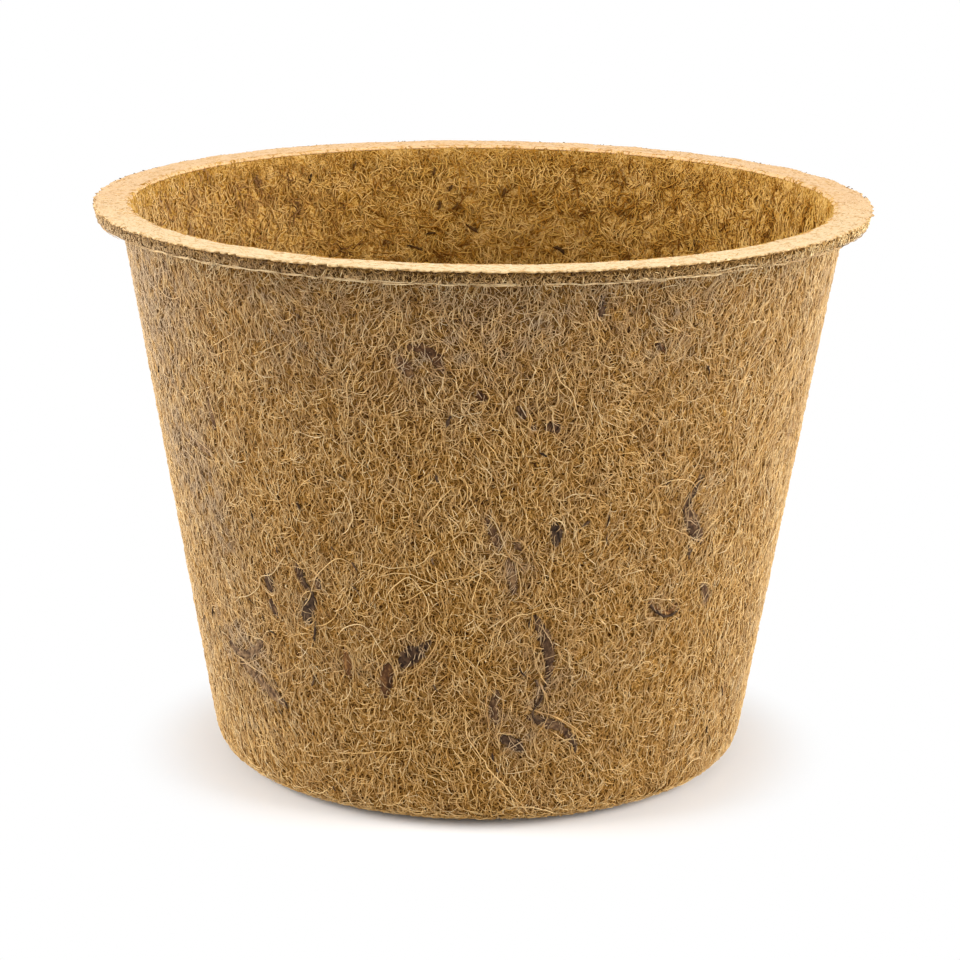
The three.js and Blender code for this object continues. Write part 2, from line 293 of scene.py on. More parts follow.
def spin(name, radius, level, materials, closed, rowMaterial=None, values=None):
    # radius and level: rows by columns, in mm. An open profile starts and ends on the axis.
    rows, columns = radius.shape
    turn = np.arange(columns) * fullTurn / columns
    points = np.stack([radius * np.sin(turn), -radius * np.cos(turn), level], axis=-1).reshape(-1, 3) * mm
    a = np.arange(rows if closed else rows - 1)[:, None] * columns + np.arange(columns)
    b = np.roll(a, -1, axis=1)
    above = (a + columns) % (rows * columns)
    aboveNext = (b + columns) % (rows * columns)
    quads = np.stack([a, b, aboveNext, above], axis=-1).reshape(-1, 4)
    rowOf = np.repeat(np.arange(len(a)), columns)
    uv = cellUv(np.tile(np.arange(columns), len(a)) / columns, rowOf / len(a), 1 / columns, 1 / len(a))
    uv = uv.reshape(-1, 2)
    corners, starts = quads.ravel(), np.arange(len(quads)) * 4
    faceMaterial = rowMaterial[rowOf] if rowMaterial is not None else None
    if not closed:   # caps on the axis, as fans
        for row in (0, rows - 1):
            tip = len(points)
            points = np.vstack([points, [[0, 0, level[row].mean() * mm]]])
            edge = row * columns + np.arange(columns)
            fan = np.stack([np.full(columns, tip), np.roll(edge, -1), edge], -1)
            starts = np.concatenate([starts, len(corners) + np.arange(columns) * 3])
            corners = np.concatenate([corners, (fan[:, ::-1] if row else fan).ravel()])
            spot = np.stack([np.arange(columns) / columns, np.full(columns, 1.0 if row else 0.0)], -1)
            uv = np.vstack([uv, np.repeat(spot, 3, axis=0)])
            capMaterial = np.full(columns, rowMaterial[min(row, len(rowMaterial) - 1)])
            faceMaterial = np.concatenate([faceMaterial, capMaterial])
    return meshPiece(name, points, corners, starts, materials, uv, values, faceMaterial)


# parts that the materials share; each gives a socket
def attribute(tree, name):
    return addNode(tree, "Attribute", {"attribute_name": name}).outputs["Fac"]


def objectSpace(tree):
    return addNode(tree, "TexCoord").outputs["Object"]


def noise(tree, where, size, look):
    return addNode(tree, "TexNoise", {"Scale": perMetre(size), "Vector": where, **look}).outputs["Fac"]


def calculated(tree, operation, *values):
    return addNode(tree, "Math", {"operation": operation, **dict(enumerate(values))}).outputs[0]


def swung(tree, value, by, strength):
    # the value, moved up or down by half the strength at most, and kept from 0 to 1
    shift = calculated(tree, "MULTIPLY_ADD", by, strength, -strength / 2)
    return addNode(tree, "Math", {"operation": "ADD", "use_clamp": True, 0: value, 1: shift}).outputs[0]


def ramp(tree, value, stops):
    return addNode(tree, "ValToRGB", {"stops": stops, "Fac": value}).outputs["Color"]


def mixed(tree, share, first, second):
    return addNode(tree, "MixRGB", {"Fac": share, "Color1": first, "Color2": second}).outputs["Color"]


def coat(tree, shader, colour, height=None, strength=0.7, depth=0.2 * mm):
    # gives the shader its colour, and a fine relief where there is a height
    tree.links.new(colour, shader.inputs["Base Color"])
    if height is not None:
        bump = addNode(tree, "Bump", {"Strength": strength, "Distance": depth, "Height": height})
        tree.links.new(bump.outputs["Normal"], shader.inputs["Normal"])


# mottle: size in mm of the darker and paler stretches of a fibre, and how strong they are
def fibreMaterial(name, stops, dustAndPaintedLightColour, mottle):
    # coir fibre, retted and sprayed with latex: straw to brown from fibre to fibre, with a dull waxy glint
    material, tree, shader = newMaterial(name, {"Roughness": 0.65, "IOR": 1.5, "Specular IOR Level": 0.15})
    uneven = noise(tree, objectSpace(tree), mottle["size"], {"Detail": 2.0})
    tone = swung(tree, attribute(tree, "tone"), uneven, mottle["strength"])
    # the dust attribute greys the fibre; it also carries painted sheen at the sides of the outer wall and
    # painted light on the inner wall at the left
    coat(tree, shader, mixed(tree, attribute(tree, "dust"), ramp(tree, tone, stops), linear(dustAndPaintedLightColour)))
    return material


def fibreNet(tree, where, size, line=0.08):
    # crossing nets of thin curved lines: each runs where a smooth noise passes its middle value
    net = None
    for layer, strength in enumerate((1.0, 0.8, 0.6)):
        apart = {"operation": "ADD", 0: where, 1: (layer, 2 * layer, 0)}
        spot = addNode(tree, "VectorMath", apart).outputs[0]
        smooth = noise(tree, spot, size, {"Detail": 1.0, "Distortion": 0.5})
        near = calculated(tree, "ABSOLUTE", calculated(tree, "SUBTRACT", smooth, 0.5))
        thin = addNode(tree, "MapRange", {"From Max": line, "To Min": strength, "To Max": 0.0, "Value": near})
        thin = thin.outputs["Result"]
        net = thin if net is None else calculated(tree, "MAXIMUM", net, thin)
    return net


# patch: size in mm of the darker and paler areas, and how strong they are; weave: size in mm of the fibre net
def feltMaterial(name, stops, patch, weave):
    # coir felt under the top fibres: the lower fibres, with painted shade in the gaps between them, uneven
    # from place to place
    material, tree, shader = newMaterial(name, {"Roughness": 0.9, "IOR": 1.45, "Specular IOR Level": 0.1})
    where = objectSpace(tree)
    net = fibreNet(tree, where, weave)
    tone = swung(tree, net, noise(tree, where, patch["size"], {"Detail": 2.0}), patch["strength"])
    coat(tree, shader, mixed(tree, attribute(tree, "dust"), ramp(tree, tone, stops), linear("#5a4226")), net)
    return material


outerFibre = fibreMaterial(
    "coir_fibre_outside", [(0.0, "#683d06"), (0.3, "#aa7930"), (0.6, "#d6ae6e"), (1.0, "#ead3a6")],
    "#b49c80", {"size": 0.9, "strength": 0.34})
innerFibre = fibreMaterial(
    "coir_fibre_inside", [(0.0, "#764806"), (0.3, "#b67f26"), (0.6, "#d4a650"), (1.0, "#e2b86c")],
    "#dcc09a", {"size": 2.0, "strength": 0.3})
edgeFibre = fibreMaterial(
    "coir_fibre_cut_edge", [(0.0, "#4a2f0e"), (0.3, "#8d6833"), (0.6, "#c49c5c"), (1.0, "#f0d8a6")],
    "#b49c80", {"size": 0.9, "strength": 0.5})
pressedFibre = fibreMaterial(
    "coir_fibre_pressed", [(0.0, "#b07a3a"), (0.5, "#d6a25e"), (1.0, "#efc88e")],
    "#a08050", {"size": 0.9, "strength": 0.3})
shredFibre = fibreMaterial(
    "coconut_husk_shred", [(0.0, "#2b1a06"), (0.5, "#553710"), (1.0, "#83591f")],
    "#554020", {"size": 0.9, "strength": 0.4})
# the darkest stops of the felts colour the gaps of the net, as painted shade
outerFelt = feltMaterial(
    "coir_felt_outside", [(0.0, "#2c1602"), (0.45, "#6e4814"), (1.0, "#b48a4a")],
    {"size": 6.0, "strength": 0.2}, 0.8)
innerFelt = feltMaterial(
    "coir_felt_inside", [(0.0, "#7c5214"), (0.5, "#bc8c3e"), (1.0, "#dcb26c")],
    {"size": 6.0, "strength": 1.1}, 1.1)
edgeFelt = feltMaterial(
    "coir_felt_cut_edge", [(0.0, "#2c1a06"), (0.5, "#5a3c14"), (1.0, "#8f6a32")],
    {"size": 2.0, "strength": 0.2}, 1.1)


def skinMaterial():
    # coir felt pressed smooth with latex: pale and matt, finely grained, with brown specks, creamier in front
    material, tree, shader = newMaterial("coir_skin_pressed", {
        "Roughness": 0.75, "IOR": 1.45, "Sheen Weight": 0.1})
    where = objectSpace(tree)
    grain = noise(tree, where, 0.45, {"Detail": 3.0, "Roughness": 0.65})
    peach = ramp(tree, grain, [(0.3, "#dca868"), (0.5, "#ebbf87"), (0.7, "#f2ce98")])
    cream = ramp(tree, grain, [(0.3, "#e0bb7c"), (0.5, "#f2d7a2"), (0.7, "#f9e5b6")])
    plain = mixed(tree, attribute(tree, "cream"), peach, cream)
    # the border is mixed to brown: partly the torn fibres, partly painted shade on the skin's outer corner
    torn = mixed(tree, attribute(tree, "border"), plain, linear("#a07a44"))
    speck = addNode(tree, "TexVoronoi", {"Scale": perMetre(2.4), "Randomness": 1.0, "Vector": where})
    spot = ramp(tree, speck.outputs["Distance"], [(0.04, "#ffffff"), (0.11, "#000000")])
    coat(tree, shader, mixed(tree, spot, torn, linear("#a07038")), grain, 0.6)
    return material


def huskMaterial():
    # coconut husk, torn: grey-brown to red-brown and streaked along its grain, dull
    material, tree, shader = newMaterial("coconut_husk_torn", {
        "Roughness": 0.85, "IOR": 1.45, "Specular IOR Level": 0.08})
    pith = noise(tree, objectSpace(tree), 0.55, {"Detail": 3.0, "Roughness": 0.6})
    tone = swung(tree, attribute(tree, "tone"), pith, 0.7)
    grey = ramp(tree, tone, [(0.0, "#1c1410"), (0.35, "#4a3829"), (0.7, "#82684c"), (1.0, "#b29674")])
    brown = ramp(tree, tone, [(0.0, "#251204"), (0.35, "#5a3412"), (0.7, "#906128"), (1.0, "#ba8e48")])
    coat(tree, shader, mixed(tree, attribute(tree, "red"), grey, brown), pith)
    return material


pressedSkin = skinMaterial()
husk = huskMaterial()
print("materials ready")


# felt bodies, a little under the top fibres; the spans are distances in mm from the end of the lip
feltBody = {"columns": 480, "rowStep": 0.9, "first": 0.6, "sink": 0.5, "mouthSink": 0.15,
            "sinkSpan": (2.5, 6.0), "relief": 0.13, "reliefSize": 2.2, "edgeSink": 0.3, "rough": 0.12,
            "roughSize": 0.9, "bead": 0.32, "beadSpan": (0.3, 1.8)}


def feltCup(name, materials, frontRun, back, edge, inward):
    columns = feltBody["columns"]
    front = np.arange(feltBody["first"], frontRun["end"], feltBody["rowStep"])
    turn = np.arange(columns) * fullTurn / columns
    s = np.repeat(front[:, None], columns, axis=1)
    fromEnd = frontRun["end"] - s
    spots = place(frontRun, np.broadcast_to(turn, s.shape), s, 0)[0] / mm
    sink = np.interp(fromEnd, feltBody["sinkSpan"], [feltBody["mouthSink"], feltBody["sink"]])
    relief = feltBody["relief"] * lumps(spots, feltBody["reliefSize"], 40, 5 + inward)
    height = -sink + relief * sink / feltBody["sink"]
    if not inward:   # the lip of the outer layer is a little thicker at its edge
        height += feltBody["bead"] * np.interp(fromEnd, feltBody["beadSpan"], [1, 0])
    radius = along(frontRun, "r", s) + height * along(frontRun, "nr", s)
    level = along(frontRun, "z", s) + height * along(frontRun, "nz", s)
    plain = np.vstack([edge, back])
    backRadius = np.repeat(plain[:, :1], columns, axis=1)
    backLevel = np.repeat(plain[:, 1:], columns, axis=1)
    backRadius[:len(edge)] += feltBody["rough"] * lumps(spots[-len(edge):], feltBody["roughSize"], 40, 8)
    rows = [np.vstack([radius, backRadius]), np.vstack([level, backLevel])]
    first, last = len(front), len(front) + len(edge)
    if inward:   # the front of the inner cup is its inside, so the profile runs the other way
        rows = [r[::-1] for r in rows]
        first, last = len(rows[0]) - last, len(rows[0]) - first
    kinds = np.zeros(len(rows[0]), int)
    kinds[max(first - 1, 0):last] = 1
    return spin(name, rows[0], rows[1], materials, False, kinds[:-1])


outerEdge = pot["lowerLip"] - feltBody["edgeSink"]
outerBack = cupProfile(pot["ply"], lipJoint, outerEdge - 1, 0.5)[::-1]
outerSide = [(outerEdge, flangeUnder - 0.1), (outerEdge + 0.1, flangeUnder + 0.4),
             (outerEdge + 0.2, lipJoint - 0.05)]
outerCup = feltCup("outer_felt", [outerFelt, edgeFelt], outside, outerBack[:-1], outerSide, 0)
belongs(outerCup, "outer_felt", "outer_ply")

innerEdge = pot["upperLip"] - feltBody["edgeSink"]
innerBack = cupProfile(pot["ply"] + pot["bond"], lipJoint + 0.05, innerEdge - 1, 0.5)[::-1]
innerSide = [(innerEdge + 0.1, skinUnder), (innerEdge + 0.1, skinUnder - 0.3), (innerEdge, lipJoint + 0.1)]
innerCup = feltCup("inner_felt", [innerFelt, edgeFelt], inside, innerBack[:-1], innerSide, 1)
belongs(innerCup, "inner_felt", "inner_ply")
print("felt bodies ready")


# husk flakes: each is its solid, divided finely and torn at the edges, sizes in mm
flakeLook = {
    "cuts": 5, "weld": 0.01, "upper": -0.2, "solidThick": 0.5, "top": -0.2, "thick": 0.35,
    "crown": 0.1, "crownReach": 0.7, "ridge": 0.05, "ridgeReach": 0.3, "ridgeSize": 1.1,
    "ragged": 0.18, "tearSize": 0.9, "tearReach": 0.5, "streak": 0.13, "mottle": 0.1, "mottleSize": 1.4,
    "grain": (3.0, 0.3),   # squeezed across it and drawn out along it
    "under": -0.8,         # where fibres pass below it
    "fringe": 0.55,        # how far fibres lie over its edge
    "crossDust": 0.35,     # how much the fibres that cross it are greyed
    "halo": 0.22,          # how much the felt round it is greyed
    "haloReach": 1.1,      # as a share of its own reach
    "gloom": 0.09,         # how much darker the fibres beside it are
    "gloomReach": 0.8,
}
# for each flake that shows from the front: how pale and how reddish it is, and how many fibres cross it
flakeFinish = [
    (0.31, 0.35, 0.75), (0.37, 0.35, 0.55), (0.22, 0.1, 0.35), (0.26, 0.6, 0.4), (0.2, 0.55, 0.3),
    (0.29, 0.25, 0.3), (0.28, 0.25, 0.4), (0.32, 0.25, 0.5), (0.43, 0.2, 0.3), (0.53, 0.15, 0.65),
    (0.2, 0.0, 0.4), (0.38, 0.25, 0.9), (0.5, 0.2, 0.6), (0.4, 0.25, 0.85), (0.33, 0.15, 0.6),
    (0.38, 0.2, 0.9), (0.39, 0.6, 0.65), (0.25, 0.2, 0.75), (0.23, 0.0, 0.4), (0.36, 0.15, 0.35),
    (0.28, 0.1, 0.26), (0.27, 0.15, 0.2), (0.18, 0.1, 0.75), (0.29, 0.5, 0.25), (0.43, 0.6, 0.1),
    (0.48, 0.05, 0.22), (0.5, 0.1, 0.45), (0.3, 0.15, 0.65), (0.42, 0.2, 0.5), (0.4, 0.2, 0.65),
    (0.27, 0.05, 0.65), (0.37, 0.15, 0.9),
]
wallMiddle = 50.0
wallStart = float(runAt(outside, wallMiddle)) - wallMiddle / math.cos(wallSlope)


def finishOf(number):
    if number <= len(flakeFinish):
        return flakeFinish[number - 1]
    shares = [number * step % 1 for step in (0.618, 0.382, 0.236)]   # steps that never fall into rows
    return 0.2 + 0.35 * shares[0], shares[1], 0.3 + 0.3 * shares[2]


def roundFrom(turn, turn0):
    return np.mod(turn - turn0 + math.pi, fullTurn) - math.pi


def wallPlace(spots, turn0):
    # a point near the outer wall as its distance round from turn0, its run length and its height over it
    turn = np.arctan2(spots[:, 0], -spots[:, 1])
    radius = np.hypot(spots[:, 0], spots[:, 1]) - pot["base"]
    s = radius * math.sin(wallSlope) + spots[:, 2] * math.cos(wallSlope) + wallStart
    height = radius * math.cos(wallSlope) - spots[:, 2] * math.sin(wallSlope)
    return np.stack([roundFrom(turn, turn0) * along(outside, "r", s), s], -1), height


def edgeDistance(points, edges):
    nearest = np.full(len(points), 9.0)
    for a, b in edges:
        span = b - a
        share = np.clip(((points - a) @ span) / max(span @ span, 1e-9), 0, 1)
        nearest = np.minimum(nearest, np.linalg.norm(points - a - share[:, None] * span, axis=1))
    return nearest


def insideFaces(points, faces):
    found = np.zeros(len(points), bool)
    x, y = points[:, 0], points[:, 1]
    for a, b, c in faces:
        pairs = ((a, b), (b, c), (c, a))
        sides = [(q[0] - p[0]) * (y - p[1]) - (q[1] - p[1]) * (x - p[0]) for p, q in pairs]
        found |= (np.minimum.reduce(sides) >= -1e-6) | (np.maximum.reduce(sides) <= 1e-6)
    return found


def makeFlake(node):
    look = flakeLook
    number = int(node[-2:])
    pale, red, cover = finishOf(number)
    solid = bmesh.new()
    solid.from_mesh(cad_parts[node].data)
    bmesh.ops.remove_doubles(solid, verts=solid.verts, dist=look["weld"] * mm)
    spots = np.array([v.co for v in solid.verts]) / mm
    turn0 = math.atan2(spots[:, 0].mean(), -spots[:, 1].mean())
    flat, height = wallPlace(spots, turn0)
    upper = [f for f in solid.faces if all(height[v.index] > look["upper"] for v in f.verts)]
    faces = [flat[[v.index for v in f.verts]] for f in upper]
    rim = [e for e in solid.edges if sum(f in upper for f in e.link_faces) == 1]
    edges = [flat[[v.index for v in e.verts]] for e in rim]

    bmesh.ops.triangulate(solid, faces=solid.faces)
    bmesh.ops.subdivide_edges(solid, edges=solid.edges, cuts=look["cuts"], use_grid_fill=True)
    bmesh.ops.triangulate(solid, faces=solid.faces)
    fine, height = wallPlace(np.array([v.co for v in solid.verts]) / mm, turn0)
    corners = np.array([v.index for f in solid.faces for v in f.verts])
    solid.free()
    share = np.clip(1 + height / look["solidThick"], 0, 1)
    inset = edgeDistance(fine, edges)
    middle = np.array([f.mean(axis=0) for f in faces]).mean(axis=0)
    lengthwise = np.linalg.eigh(np.cov(np.vstack(faces).T))[1][:, 1]
    crosswise = [lengthwise[1], -lengthwise[0]]
    grain = np.stack([fine @ crosswise, fine @ lengthwise], -1) * look["grain"]
    ridge = lumps(grain, look["ridgeSize"], 16, 231 + number)
    tear = np.stack([lumps(fine, look["tearSize"], 14, seed + number) for seed in (31, 63)], -1)
    torn = fine + look["ragged"] * tear * np.exp(-inset / look["tearReach"])[:, None]
    crown = look["crown"] * np.clip(inset / look["crownReach"], 0, 1) ** 0.6 - look["crown"]
    over = look["top"] + crown + look["ridge"] * ridge * np.clip(inset / look["ridgeReach"], 0, 1)
    height = over * share + (look["top"] - look["thick"]) * (1 - share)
    points, _ = place(outside, turn0 + torn[:, 0] / along(outside, "r", torn[:, 1]), torn[:, 1], height)
    spread = look["mottle"] * lumps(fine, look["mottleSize"], 12, 5 + number)
    tone = np.clip(pale + look["streak"] * ridge + spread, 0, 1)
    piece = meshPiece(node.replace("husk_flake", "husk"), points, corners, np.arange(len(corners) // 3) * 3,
                      [husk], values={"tone": tone, "red": np.full(len(tone), red)})
    belongs(piece, "husk", node)
    return {"turn": turn0, "faces": faces, "edges": edges, "middle": middle, "cover": cover,
            "reach": np.linalg.norm(np.vstack(faces) - middle, axis=1).max()}


flakes = [makeFlake(node) for node in sorted(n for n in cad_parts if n.startswith("husk_flake"))]
print("husk flakes ready:", len(flakes))


# what a set of fibres has where it doesn't say otherwise, sizes in mm
plainFibres = {
    "curl": 3,             # radius of its bends
    "wander": 0.3,         # how much they vary along it
    "combed": 0.1,         # share that runs up the wall
    "period": (1.6, 3.5),  # one wave of its weave up and down
    "highest": -0.02,      # over the face, which no fibre passes
    "dive": 0.12,          # how far its ends go down
    "steps": 3,
    "taper": 0.55,
    # shade is painted shade: a fibre is the darker the deeper it lies among the others, from shadeFrom under
    # the highest level over a further shadeOver
    "shade": 0.0,          # darker where it lies deep
    "shadeFrom": 0.15,
    "shadeOver": 0.5,
    "patch": 0.0,          # darker and paler areas
    "patchSize": 9,
    "blotch": 0.0,         # the same, finer
    "blotchSize": 2.6,
    "pit": 0.0,            # hollows in the felt
    "pitFrom": 0.7,
    "pitSize": 1.3,
    # pitShade darkens the fibres in those hollows, as painted shade
    "pitShade": 0.0,
}
# how all fibres lie: combed ones lean by two slow fields and by chance, and more are combed at the sides
fibreLie = {"broad": 0.28, "broadSize": 17, "fine": 0.2, "fineSize": 6, "chance": 0.38, "combedSides": 0.25}


# fibres are laid as rows of points: turn, run length, height over the face, width and tone along each fibre
def layFibres(run, given, dice):
    spec = {**plainFibres, **given}
    count, steps = spec["count"], spec["steps"]
    low, high = spec["span"]
    ladder = np.linspace(low, high, 400)
    area = np.cumsum(along(run, "r", ladder))
    seed = np.interp(dice.random(count), area / area[-1], ladder)
    seedTurn = dice.uniform(0, fullTurn, count)
    spots = place(run, seedTurn, seed, 0)[0] / mm
    length = spec["length"][0] + np.ptp(spec["length"]) * dice.random(count) ** 1.5
    step = (length / steps)[:, None]
    combed = dice.random(count) < spec["combed"] + fibreLie["combedSides"] * np.sin(seedTurn) ** 2
    broad = fibreLie["broad"] * lumps(spots, fibreLie["broadSize"], 14, 92)
    fine = fibreLie["fine"] * lumps(spots, fibreLie["fineSize"], 14, 93)
    lie = math.pi / 2 + broad + fine + dice.normal(0, fibreLie["chance"], count)
    heading = np.where(combed, lie, dice.uniform(0, fullTurn, count))
    bend = dice.normal(0, 1 / spec["curl"], count)[:, None] * step
    bend = bend + dice.normal(0, spec["wander"], (count, steps)) * np.sqrt(step)
    direction = np.cumsum(bend, axis=1)
    direction += (heading - direction[:, steps // 2])[:, None]
    zero = np.zeros((count, 1))
    rise = np.hstack([zero, np.cumsum(np.sin(direction) * step, axis=1)])
    s = np.clip(seed[:, None] + rise - rise[:, steps // 2, None], low, high)
    sideways = np.cos(direction) * step / np.maximum(along(run, "r", s[:, 1:]), 3)
    reach = np.hstack([zero, np.cumsum(sideways, axis=1)])
    turn = seedTurn[:, None] + reach - reach[:, steps // 2, None]
    t = np.linspace(-1, 1, steps + 1)
    level = dice.uniform(*spec["depth"], count)[:, None]
    period = dice.uniform(*spec["period"], (count, 1))
    phase = dice.uniform(0, fullTurn, (count, 1))
    wave = spec["weave"] * np.sin(phase + t * math.pi * length[:, None] / period)
    height = np.minimum(level + wave - spec["dive"] * np.abs(t) ** 5, spec["highest"])
    hollows = lumps(place(run, turn, s, 0)[0] / mm, spec["pitSize"], 30, 91)
    pit = np.clip(-hollows - spec["pitFrom"], 0, 1)
    height = height - spec["pit"] * pit
    width = dice.uniform(*spec["width"], count)[:, None] * (1 - spec["taper"] * np.abs(t) ** 6)
    # painted shade: fibres that lie deep, and those in the hollows, are darkened
    sunk = np.clip((spec["highest"] - spec["shadeFrom"] - height) / spec["shadeOver"], 0, 1)
    tone = dice.normal(*spec["tone"], count) + spec["patch"] * lumps(spots, spec["patchSize"], 14, 55)
    tone += spec["blotch"] * lumps(spots, spec["blotchSize"], 24, 57)
    tone = np.clip(tone[:, None] - spec["shade"] * sunk - spec["pitShade"] * pit, 0, 1)
    dust = np.zeros(turn.shape)
    return {"turn": turn, "s": s, "height": height, "width": width, "tone": tone, "dust": dust}


def passFlakes(fibres, crossing, dice):
    # most fibres dip under a flake, some cross over it and are greyed by it, and those beside it are darker
    for flake in flakes:
        away = roundFrom(fibres["turn"], flake["turn"])
        spots = np.stack([away * along(outside, "r", fibres["s"]), fibres["s"]], -1)
        apart = np.linalg.norm(spots - flake["middle"], axis=-1)
        rows, columns = np.nonzero(apart < flake["reach"] + 2 * flakeLook["gloomReach"])
        near = spots[rows, columns]
        on = insideFaces(near, flake["faces"])
        inset = edgeDistance(near, flake["edges"])
        gloom = flakeLook["gloom"] * np.exp(-inset / flakeLook["gloomReach"])
        fibres["tone"][rows, columns] -= np.where(on, 0, gloom)
        rows, columns, inset = rows[on], columns[on], inset[on]
        over = dice.random(len(away)) < flake["cover"] * crossing
        fringe = flakeLook["fringe"] * dice.random(len(away)) ** 2
        height = fibres["height"][rows, columns]
        raised = np.maximum(height, flakeLook["top"] + 0.5 * fibres["width"][rows, columns])
        sunk = np.where(inset > fringe[rows], np.minimum(height, flakeLook["under"]), height)
        fibres["height"][rows, columns] = np.where(over[rows], raised, sunk)
        fibres["dust"][rows, columns] = flakeLook["crossDust"]


# greyed patches of the outer felt: turn in degrees, level and size in mm, strength. The wide ones at turns of
# -80 to 85 degrees, at the pot's sides as the camera sees them, are painted sheen that makes the fibres paler
# there; the rest are stains.
stainsAndEdgeSheen = [(-58, 52, 9, 0.45), (-66, 58, 7, 0.4), (-52, 44, 6, 0.35), (-30, 84, 10, 0.3), (2, 86, 14, 0.3),
          (-62, 82, 13, 0.55), (30, 88, 10, 0.25), (7, 47, 4, 0.3), (12, 24, 5, 0.3), (-51, 27, 6, 0.3),
          (-80, 62, 24, 0.45), (80, 62, 24, 0.4), (-80, 22, 20, 0.4), (80, 20, 20, 0.35), (-55, 30, 24, 0.12),
          (-80, 87, 14, 0.6), (85, 86, 14, 0.25), (140, 60, 12, 0.4), (215, 35, 10, 0.4)]
for flake in flakes:
    flakeLevel = float(along(outside, "z", flake["middle"][1]))
    haloSize = flakeLook["haloReach"] * flake["reach"]
    stainsAndEdgeSheen.append((math.degrees(flake["turn"]), flakeLevel, haloSize, flakeLook["halo"]))
# besides, the felt is greyer from a level up to the flange, and all of this is uneven and mottled
greyed = {"from": 50.0, "strength": 0.27, "even": 0.75, "uneven": 0.35, "unevenSize": 2.5,
          "mottle": 0.14, "mottleSize": 6, "most": 0.85}


# dust on the outer felt and fibres, and the painted sheen at the pot's sides, from the patches above
def dustAndEdgeSheenAt(points):
    spots = points / mm
    total = np.zeros(points.shape[:-1])
    for turn, level, size, strength in stainsAndEdgeSheen:
        radius = pot["base"] + level * math.tan(wallSlope)
        angle = math.radians(turn)
        centre = np.array([radius * math.sin(angle), -radius * math.cos(angle), level])
        total += strength * np.exp(-((spots - centre) ** 2).sum(axis=-1) / size ** 2)
    rise = (spots[..., 2] - greyed["from"]) / (flangeUnder - greyed["from"])
    total += greyed["strength"] * np.clip(rise, 0, 1) ** 1.5
    total = total * (greyed["even"] + greyed["uneven"] * lumps(spots, greyed["unevenSize"], 12, 17))
    total = total + greyed["mottle"] * np.clip(lumps(spots, greyed["mottleSize"], 20, 19), 0, 1)
    return np.clip(total, 0, greyed["most"])


feltSpots = np.empty(len(outerCup.data.vertices) * 3, np.float32)
outerCup.data.vertices.foreach_get("co", feltSpots)
feltDustAndSheen = outerCup.data.attributes.new("dust", "FLOAT", "POINT")
feltDustAndSheen.data.foreach_set("value", dustAndEdgeSheenAt(feltSpots.reshape(-1, 3)).astype(np.float32))

# sides of a fibre, its height to its width, the most triangles in a piece, and the margin of its map
tubes = {"sides": 3, "flat": 0.85, "most": 190000, "margin": 0.1}


def tubePieces(name, points, normals, width, tone, dust, material, slot, flat=tubes["flat"]):
    count, rings = width.shape
    steps, sides = rings - 1, tubes["sides"]
    ahead = np.gradient(points, axis=1)
    ahead /= np.maximum(np.linalg.norm(ahead, axis=-1, keepdims=True), 1e-12)
    side = np.cross(ahead, normals)
    side /= np.maximum(np.linalg.norm(side, axis=-1, keepdims=True), 1e-12)
    out = np.cross(side, ahead)
    angle = np.arange(sides) * fullTurn / sides + math.pi / 2
    ringAt = np.cos(angle)[:, None] * side[:, :, None] + flat * np.sin(angle)[:, None] * out[:, :, None]
    shell = points[:, :, None] + ringAt * (width * mm / 2)[:, :, None, None]
    ringIndex = np.arange(steps)[:, None] * sides + np.arange(sides)
    nextIndex = np.arange(steps)[:, None] * sides + (np.arange(sides) + 1) % sides
    quads = np.stack([ringIndex, ringIndex + sides, nextIndex + sides, nextIndex], -1).reshape(-1, 4)
    caps = np.concatenate([np.arange(sides), (steps * sides + np.arange(sides))[::-1]])
    pattern = np.concatenate([quads.ravel(), caps])
    patternStarts = np.concatenate([np.arange(len(quads)) * 4, len(quads) * 4 + np.array([0, sides])])
    uAt = np.repeat(np.arange(steps), sides) / steps
    vAt = np.tile(np.arange(sides), steps) / sides
    quadUv = cellUv(uAt, vAt, 1 / steps, 1 / sides)
    capUv = np.repeat([[0.02, 0.5], [0.98, 0.5]], sides, axis=0)
    patternUv = np.vstack([quadUv.reshape(-1, 2), capUv]) * (1 - 2 * tubes["margin"]) + tubes["margin"]
    triangles = steps * sides * 2 + 2 * (sides - 2)
    parts = math.ceil(count * triangles / tubes["most"])
    shades = {"tone": tone, "dust": dust}
    for part, chosen in enumerate(np.array_split(np.arange(count), parts)):
        n = len(chosen)
        grid = math.ceil(math.sqrt(n))
        cell = np.stack([np.arange(n) % grid, np.arange(n) // grid], -1)
        uv = ((cell[:, None] + patternUv[None]) / grid).reshape(-1, 2)
        corners = (np.arange(n)[:, None] * rings * sides + pattern[None]).ravel()
        starts = (np.arange(n)[:, None] * len(pattern) + patternStarts[None]).ravel()
        values = {key: np.repeat(value[chosen].ravel(), sides) for key, value in shades.items()}
        label = f"{name}_{part + 1:02d}" if parts > 1 else name
        belongs(meshPiece(label, shell[chosen].reshape(-1, 3), corners, starts, [material], uv, values), slot)
    print(name, "fibres:", count, "pieces:", parts, "triangles:", count * triangles)


def fibrePieces(name, run, fibres, material, slot, withDustAndSheen=False):
    points, normals = place(run, fibres["turn"], fibres["s"], fibres["height"])
    order = np.argsort(np.mod(fibres["turn"].mean(axis=1), fullTurn))
    dust = np.clip(fibres["dust"] + (dustAndEdgeSheenAt(points) if withDustAndSheen else 0), 0, greyed["most"])
    rows = (points, normals, fibres["width"], fibres["tone"], dust)
    tubePieces(name, *(row[order] for row in rows), material, slot)


